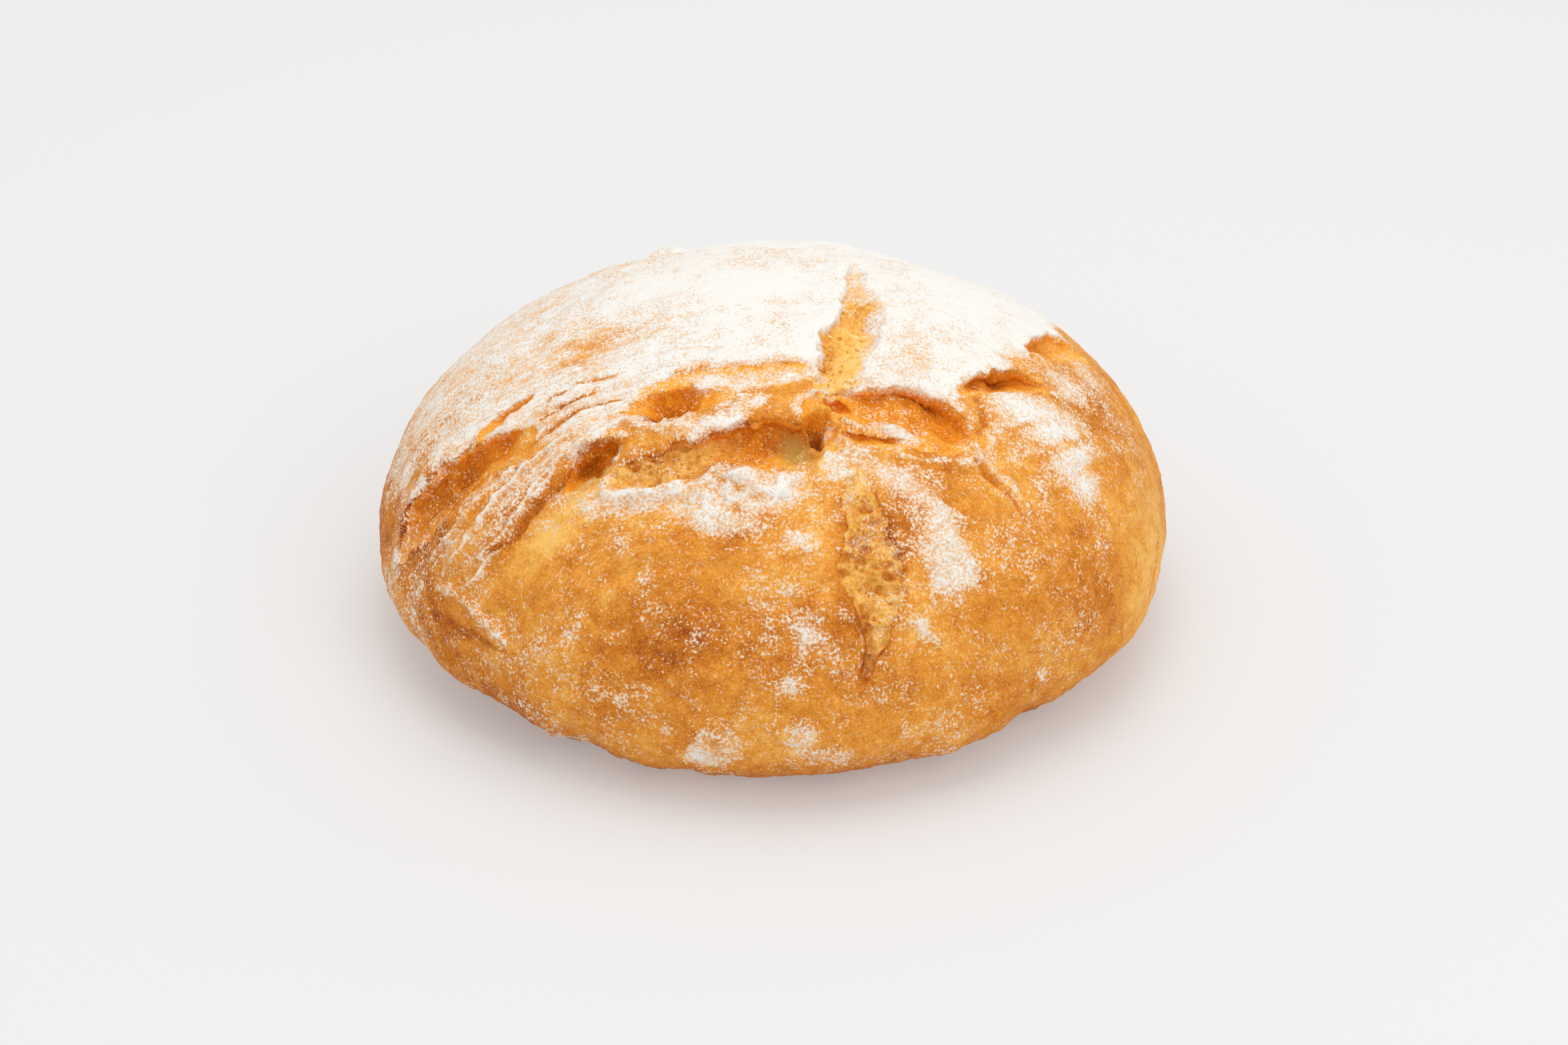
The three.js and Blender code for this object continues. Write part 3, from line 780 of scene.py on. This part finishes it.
crustLook = {
    # the baked crust, from the palest to the darkest
    "crust": [(0.10, "#F6BE62"), (0.36, "#E69A3A"), (0.62, "#CD7A22"), (0.95, "#96430F")],
    # stretched skin inside the tears, from the edge to the deepest floor, darker with depth as painted shade
    "skin": [(0.0, "#F8B64C"), (0.36, "#EA9222"), (0.72, "#DA8018"), (1.0, "#BA640E")],
    # open crumb, from the walls between the pores to the pores, which are darker as painted shade
    "crumb": [(0.2, "#FCD68C"), (0.45, "#F3BC5C"), (0.85, "#CE7E28")],
    "moist": "#C9A252",
    # the painted glints on torn skin and crumb
    "glint": "#F9C468",
    "flour": "#EFEBE4",
    "flourThin": "#F1CFAA",
    "roughness": 0.6,
    "moistRoughness": 0.38,
    "flourRoughness": 0.95,
    "ior": 1.45,
    "gloss": 0.12,
    "lightInside": 0.12,  # share of the light that goes in and comes out again nearby
    "lightReach": (0.004, 0.002, 0.0008),  # how far it gets, red, green and blue, in metres
    "reliefHeight": 0.3,  # mm
}

# Bread crust as it comes off the stone: golden orange that browns to rust in places, with painted shade in
# the folds, tears and pores and painted glints on the torn skin, and flour powdered over it in drifts and
# single grains. It looks dry and matt, with a faint sheen where the crust is bare.
bread = bpy.data.materials.new("bakedCrustDustedWithFlour")
bread.use_nodes = True
tree = bread.node_tree
tree.nodes.clear()
coords = addNode(tree, "TexCoord", {}, "Object")
marks = {name: addNode(tree, "Attribute", {}, "Fac", attribute_name=name) for name in surfaceMarks}
flowAt = addNode(tree, "Attribute", {}, "Vector", attribute_name="flow")

# Patterns: main spacing in millimetres, detail and roughness of each noise.
patterns = {
    "blotch": (16, 4, 0.6), "mottle": (3.2, 6, 0.68), "speck": (0.55, 3, 0.65), "crumbFine": (1.1, 5, 0.72),
    "drift": (5.0, 8, 0.70), "powder": (0.65, 3, 0.62), "wide": (14, 3, 0.6), "crackle": (1.3, 4, 0.52),
}
noise = {}
for name, (spacing, detail, rough) in patterns.items():
    noise[name] = addNode(tree, "TexNoise", {
        "Vector": coords, "Scale": 1 / (spacing * mm), "Detail": detail, "Roughness": rough,
    }, "Fac")
stretched = addNode(tree, "Mapping", {
    "Vector": flowAt, "Scale": (0.11, 1.0, 1.0), "Rotation": (0, 0, math.radians(-6)),
})
streak = addNode(tree, "TexNoise", {
    "Vector": stretched, "Scale": 0.95, "Detail": 3.0, "Roughness": 0.6,
}, "Fac")
streakWeight = addNode(tree, "SeparateXYZ", {"Vector": flowAt}, "Z")

# Small pores that the mesh is too coarse for, only where the inside is open, sunk in the relief and darkened
# as painted shade.
cells = addNode(tree, "TexVoronoi", {"Vector": coords, "Scale": 1 / (1.9 * mm)}, "Distance")
ragged = addNode(tree, "Math", {0: noise["mottle"], 1: 0.9, 2: cells}, operation="MULTIPLY_ADD")
pores = addNode(tree, "MapRange", {
    "Value": ragged, "From Min": 0.74, "From Max": 0.52, "To Max": 0.45,
}, interpolation_type="SMOOTHSTEP")
openPores = addNode(tree, "Math", {0: pores, 1: marks["crumb"]}, operation="MULTIPLY")

# Three colours by how far each place is baked, with painted shade from the depth of the tears and from the
# pores. Each sum is a plain value plus weighted noise.
sums = {
    "crust": [("blotch", 1.4), ("mottle", 1.7), ("speck", 1.6)],
    "skin": [("blotch", 0.5), ("mottle", 1.4), ("speck", 1.7)],
    "crumb": [("crumbFine", 1.5), ("mottle", 0.7)],
}
spans = {"crust": (-0.85, 1.15), "skin": (-0.1, 1.1), "crumb": (-0.45, 0.75)}
starts = {
    "crust": marks["browningAndShade"],
    "skin": addNode(tree, "Math", {0: marks["browningAndShade"], 1: 0.35, 2: marks["depth"]}, operation="MULTIPLY_ADD"),
    "crumb": addNode(tree, "Math", {0: marks["browningAndShade"], 1: 0.4, 2: openPores}, operation="MULTIPLY_ADD"),
}
baked = {}
for name, parts in sums.items():
    total = starts[name]
    for pattern, weight in parts:
        total = addNode(tree, "Math", {0: noise[pattern], 1: weight, 2: total}, operation="MULTIPLY_ADD")
    offset = sum(weight for pattern, weight in parts) / 2
    low, high = spans[name]
    share = addNode(tree, "MapRange", {"Value": total, "From Min": low + offset, "From Max": high + offset})
    baked[name] = addNode(tree, "ValToRGB", {"Fac": share})
    ramp = baked[name].node.color_ramp
    stops = crustLook[name]
    ramp.elements[0].position, ramp.elements[0].color = stops[0][0], linear(stops[0][1])
    ramp.elements[1].position, ramp.elements[1].color = stops[-1][0], linear(stops[-1][1])
    for position, shade in stops[1:-1]:
        ramp.elements.new(position).color = linear(shade)

crumbShare = addNode(tree, "MapRange", {
    "Value": marks["crumb"], "From Min": 0.2, "From Max": 0.8,
}, interpolation_type="SMOOTHSTEP")
tornColour = addNode(tree, "Mix", {0: crumbShare, 6: baked["skin"], 7: baked["crumb"]}, 2, data_type="RGBA")
raggedTorn = addNode(tree, "Math", {0: noise["mottle"], 1: 0.9, 2: marks["torn"]}, operation="MULTIPLY_ADD")
tornShare = addNode(tree, "MapRange", {
    "Value": raggedTorn, "From Min": 0.7, "From Max": 1.15,
}, interpolation_type="SMOOTHSTEP")
bare = addNode(tree, "Mix", {0: tornShare, 6: baked["crust"], 7: tornColour}, 2, data_type="RGBA")
bare = addNode(tree, "Mix", {0: marks["moist"], 6: bare, 7: linear(crustLook["moist"])}, 2, data_type="RGBA")

# painted highlights: light glints mixed into the colour of the torn skin and crumb, like coarse sugar
# catching the light
glint = addNode(tree, "MapRange", {
    "Value": noise["powder"], "From Min": 0.54, "From Max": 0.68, "To Max": 0.55,
}, interpolation_type="SMOOTHSTEP")
glintShare = addNode(tree, "Math", {0: glint, 1: tornShare}, operation="MULTIPLY")
bare = addNode(tree, "Mix", {0: glintShare, 6: bare, 7: linear(crustLook["glint"])}, 2, data_type="RGBA")

# Flour: where the flour value and the noise together pass a level, there is flour.
flourPatterns = [("drift", 1.6), ("powder", 2.4), ("wide", 0.4)]  # and how much each one counts
cover = marks["flour"]
for pattern, weight in flourPatterns:
    cover = addNode(tree, "Math", {0: noise[pattern], 1: weight, 2: cover}, operation="MULTIPLY_ADD")
# streaks that run with the tears, only where the streak weight is above 0
lines = addNode(tree, "Math", {0: streak, 1: streakWeight}, operation="MULTIPLY")
lines = addNode(tree, "Math", {0: streakWeight, 1: -0.5, 2: lines}, operation="MULTIPLY_ADD")
cover = addNode(tree, "Math", {0: lines, 1: 1.2, 2: cover}, operation="MULTIPLY_ADD")
coverage = addNode(tree, "MapRange", {
    "Value": cover, "From Min": 2.5, "From Max": 2.88,
}, interpolation_type="SMOOTHSTEP")
whiteness = addNode(tree, "MapRange", {
    "Value": cover, "From Min": 2.66, "From Max": 3.2,
}, interpolation_type="SMOOTHSTEP")
# the finest dust, which only veils the crust between the drifts
veil = addNode(tree, "Math", {0: noise["drift"], 1: 0.9, 2: marks["flour"]}, operation="MULTIPLY_ADD")
haze = addNode(tree, "MapRange", {
    "Value": veil, "From Min": 0.75, "From Max": 1.35, "To Max": 0.86,
}, interpolation_type="SMOOTHSTEP")
flourThin, flourThick = linear(crustLook["flourThin"]), linear(crustLook["flour"])
hazed = addNode(tree, "Mix", {0: haze, 6: bare, 7: flourThin}, 2, data_type="RGBA")
flourColour = addNode(tree, "Mix", {0: whiteness, 6: flourThin, 7: flourThick}, 2, data_type="RGBA")
colour = addNode(tree, "Mix", {0: coverage, 6: hazed, 7: flourColour}, 2, data_type="RGBA")

# Relief: the bare crust is finely crackled, and the flour lies on it in a soft, thin layer.
bareShare = addNode(tree, "Math", {0: coverage, 1: -0.8, 2: 1.0}, operation="MULTIPLY_ADD")
centred = addNode(tree, "Math", {0: noise["crackle"], 1: 0.5}, operation="SUBTRACT")
crackle = addNode(tree, "Math", {0: centred, 1: bareShare}, operation="MULTIPLY")
relief = addNode(tree, "Math", {0: whiteness, 1: 0.22, 2: crackle}, operation="MULTIPLY_ADD")
relief = addNode(tree, "Math", {0: openPores, 1: -0.9, 2: relief}, operation="MULTIPLY_ADD")
bump = addNode(tree, "Bump", {
    "Height": relief, "Strength": 1.0, "Distance": crustLook["reliefHeight"] * mm,
}, "Normal")
dry = addNode(tree, "MapRange", {
    "Value": coverage, "To Min": crustLook["roughness"], "To Max": crustLook["flourRoughness"],
})
roughness = addNode(tree, "Mix", {0: marks["moist"], 2: dry, 3: crustLook["moistRoughness"]})

surface = addNode(tree, "BsdfPrincipled", {
    "Base Color": colour, "Normal": bump, "Roughness": roughness, "IOR": crustLook["ior"],
    "Specular IOR Level": crustLook["gloss"], "Subsurface Weight": crustLook["lightInside"],
    "Subsurface Radius": crustLook["lightReach"], "Subsurface Scale": 1.0,
})
addNode(tree, "OutputMaterial", {"Surface": surface})
loaf.data.materials.clear()
loaf.data.materials.append(bread)
print("crust material made")

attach(loaf, "root")
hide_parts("loaf")

studio = {
    "floorSize": 9.0,
    "floor": "#C6C6C6",
    "floorRoughness": 0.9,
    "floorGlow": 0.24,
    "worldStrength": 0.74,
    # place, diameter and power of each round soft light
    "lights": {
        "overhead": ((0.0, 0.1, 1.3), 1.2, 5.8),
        "frontRight": ((0.6, -0.95, 1.0), 1.1, 4.2),
    },
    "aim": (0, 0, 0.04),
    "camera": (0.00251, -0.72952, 0.47813),
    "cameraTilt": 58,
    "lens": 85,
    "filmWidth": 36,
}
bpy.ops.object.select_all(action="DESELECT")
bpy.ops.mesh.primitive_plane_add(size=studio["floorSize"], location=(0, 0, 0))
floor = bpy.context.object
floor.name = "paleFloor"
# matt white card on a light table, which keeps the shadows under the loaf pale
paper = bpy.data.materials.new("mattWhiteCard")
paper.use_nodes = True
card = paper.node_tree.nodes["Principled BSDF"]
card.inputs["Base Color"].default_value = linear(studio["floor"])
card.inputs["Roughness"].default_value = studio["floorRoughness"]
card.inputs["Emission Color"].default_value = (1, 1, 1, 1)
card.inputs["Emission Strength"].default_value = studio["floorGlow"]
floor.data.materials.append(paper)

world = bpy.data.worlds.new("studio")
world.use_nodes = True
backdrop = world.node_tree.nodes["Background"]
backdrop.inputs["Color"].default_value = (1, 1, 1, 1)
backdrop.inputs["Strength"].default_value = studio["worldStrength"]
bpy.context.scene.world = world

for name, (place, size, power) in studio["lights"].items():
    lamp = bpy.data.lights.new(name, "AREA")
    lamp.shape = "DISK"
    lamp.size = size
    lamp.energy = power
    holder = bpy.data.objects.new(name, lamp)
    bpy.context.scene.collection.objects.link(holder)
    holder.location = place
    holder.rotation_euler = (Vector(studio["aim"]) - Vector(place)).to_track_quat("-Z", "Y").to_euler()

view = bpy.data.cameras.new("camera")
view.lens = studio["lens"]
view.sensor_width = studio["filmWidth"]
camera = bpy.data.objects.new("camera", view)
bpy.context.scene.collection.objects.link(camera)
camera.location = studio["camera"]
camera.rotation_euler = (math.radians(studio["cameraTilt"]), 0, 0)
bpy.context.scene.camera = camera
bpy.context.scene.view_settings.view_transform = "Standard"
print("studio set")
